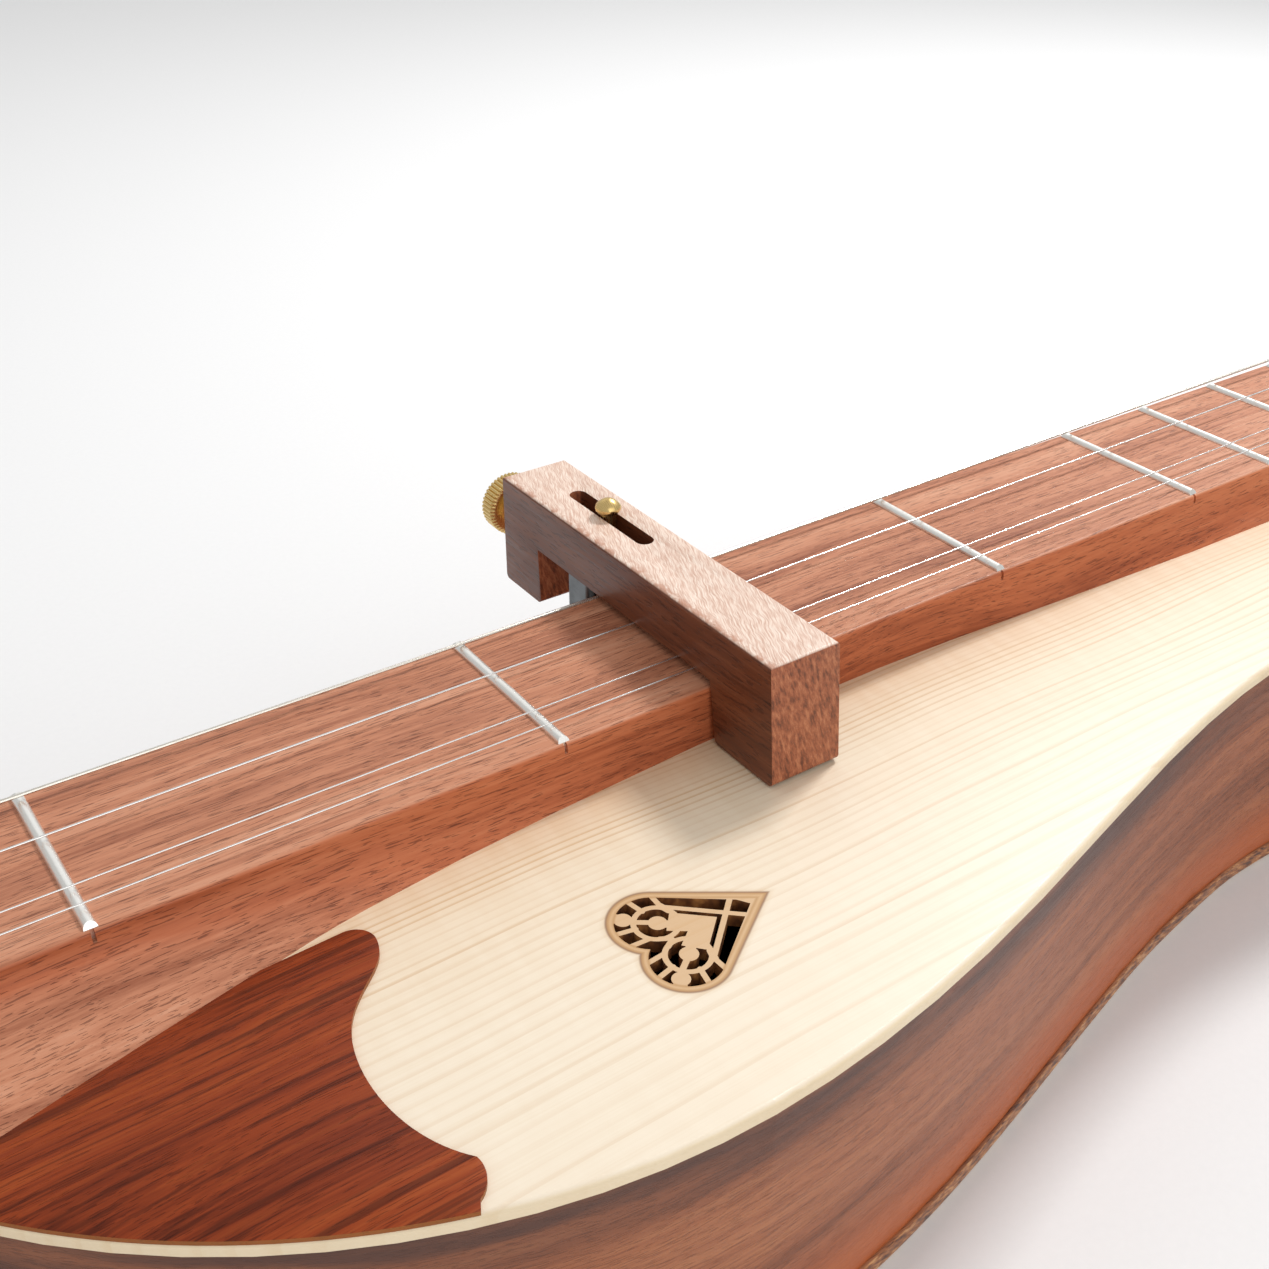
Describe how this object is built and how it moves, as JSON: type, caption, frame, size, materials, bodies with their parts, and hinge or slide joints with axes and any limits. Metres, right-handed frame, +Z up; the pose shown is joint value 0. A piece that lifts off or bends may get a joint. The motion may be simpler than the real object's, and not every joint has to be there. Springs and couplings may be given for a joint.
{
  "type": "lap dulcimer",
  "caption": "Fretted lap dulcimer with a one-sided waisted body, heart soundholes, geared tuners and a clamp-on wooden capo.",
  "frame": {"origin": "on the plane the back rests on, below the middle of the overall length and the fretboard's centreline", "axes": "+X from the headstock to the tail along the strings, +Y from the player's side to the far side, +Z up out of the soundboard"},
  "size_m": [0.8772, 0.1452, 0.0726],
  "materials": {
    "spruce": "pale fine-grained softwood under thin satin lacquer",
    "rib_wood": "straight-grained red-brown hardwood, satin lacquer",
    "back_wood": "orange-brown hardwood, satin lacquer",
    "fretboard_wood": "red-brown hardwood with dark pores, satin oil",
    "rosewood": "very dark red-brown striped hardwood, satin",
    "lacewood": "flecked hardwood, satin",
    "block_wood": "plain inner timber, bare",
    "bone": "polished bone-coloured",
    "nickel_silver": "polished fret wire",
    "string_steel": "bright plain steel",
    "bass_winding": "bright wound wire",
    "brass": "polished brass",
    "nickel_plate": "polished nickel plating",
    "button_ivory": "pearly cream",
    "jaw_metal": "dull grey metal",
    "pad_rubber": "matt black"
  },
  "bodies": {
    "dulcimer": {"back_plate": "back_wood", "rib_near": "rib_wood", "rib_far": "rib_wood", "head_block": "block_wood", "tail_block": "block_wood", "soundboard_linings": "block_wood", "back_linings": "block_wood", "soundboard_braces": "block_wood", "back_braces": "block_wood", "soundboard": "spruce", "head_overlay": "rosewood", "tail_overlay": "rosewood", "fretboard": "fretboard_wood", "frets": "nickel_silver", "nut": "bone", "saddle": "bone", "headstock": "rib_wood", "headstock_veneer": "rosewood", "string_bass": "bass_winding", "string_middle": "string_steel", "string_melody_inner": "string_steel", "string_melody_outer": "string_steel", "hitch_pins": "brass", "tuner_plates": "nickel_plate", "tuner_bushings": "nickel_plate", "tuner_screws": "nickel_plate"},
    "worm_1": {"tuner_worm_1": "nickel_plate", "tuner_button_1": "button_ivory"},
    "post_1": {"tuner_post_1": "nickel_plate", "tuner_gear_1": "brass"},
    "worm_2": {"tuner_worm_2": "nickel_plate", "tuner_button_2": "button_ivory"},
    "post_2": {"tuner_post_2": "nickel_plate", "tuner_gear_2": "brass"},
    "worm_3": {"tuner_worm_3": "nickel_plate", "tuner_button_3": "button_ivory"},
    "post_3": {"tuner_post_3": "nickel_plate", "tuner_gear_3": "brass"},
    "worm_4": {"tuner_worm_4": "nickel_plate", "tuner_button_4": "button_ivory"},
    "post_4": {"tuner_post_4": "nickel_plate", "tuner_gear_4": "brass"},
    "capo": {"capo_frame": "lacewood", "capo_insert": "brass"},
    "capo_jaw": {"capo_jaw": "jaw_metal", "capo_jaw_pad": "pad_rubber", "capo_guide_pin": "brass"},
    "capo_screw": {"capo_screw": "brass", "capo_knob": "brass"}
  },
  "joints": [
    {"name": "button_1_turn", "type": "hinge", "parent": "dulcimer", "child": "worm_1", "pos_m": [-0.35076, 0.01232, 0.02992], "axis": [0, 1, 0], "continuous": true},
    {"name": "post_1_turn", "type": "hinge", "parent": "dulcimer", "child": "post_1", "pos_m": [-0.34719, 0.01232, 0.04922], "axis": [-0.1392, 0, 0.9903], "continuous": true},
    {"name": "button_2_turn", "type": "hinge", "parent": "dulcimer", "child": "worm_2", "pos_m": [-0.39453, 0.00978, 0.02377], "axis": [0, 1, 0], "continuous": true},
    {"name": "post_2_turn", "type": "hinge", "parent": "dulcimer", "child": "post_2", "pos_m": [-0.39096, 0.00978, 0.04307], "axis": [-0.1392, 0, 0.9903], "continuous": true},
    {"name": "button_3_turn", "type": "hinge", "parent": "dulcimer", "child": "worm_3", "pos_m": [-0.35076, -0.01232, 0.02992], "axis": [0, -1, 0], "continuous": true},
    {"name": "post_3_turn", "type": "hinge", "parent": "dulcimer", "child": "post_3", "pos_m": [-0.34719, -0.01232, 0.04922], "axis": [-0.1392, 0, 0.9903], "continuous": true},
    {"name": "button_4_turn", "type": "hinge", "parent": "dulcimer", "child": "worm_4", "pos_m": [-0.39453, -0.00978, 0.02377], "axis": [0, -1, 0], "continuous": true},
    {"name": "post_4_turn", "type": "hinge", "parent": "dulcimer", "child": "post_4", "pos_m": [-0.39096, -0.00978, 0.04307], "axis": [-0.1392, 0, 0.9903], "continuous": true},
    {"name": "capo_lift", "type": "slide", "parent": "dulcimer", "child": "capo", "axis": [0, 0, 1], "range_m": [0, 0.06]},
    {"name": "capo_jaw_slide", "type": "slide", "parent": "capo", "child": "capo_jaw", "axis": [0, 1, 0], "range_m": [0, 0.0068]},
    {"name": "capo_screw_turn", "type": "hinge", "parent": "capo_jaw", "child": "capo_screw", "pos_m": [-0.12308, 0.04883, 0.05856], "axis": [0, 1, 0], "range_deg": [0, 3060]}
  ],
  "couplings": [
    {"joint": "post_1_turn", "follows": "button_1_turn", "ratio": 0.071429},
    {"joint": "post_2_turn", "follows": "button_2_turn", "ratio": 0.071429},
    {"joint": "post_3_turn", "follows": "button_3_turn", "ratio": -0.071429},
    {"joint": "post_4_turn", "follows": "button_4_turn", "ratio": -0.071429},
    {"joint": "capo_screw_turn", "follows": "capo_jaw_slide", "rad_per_m": 7850}
  ]
}
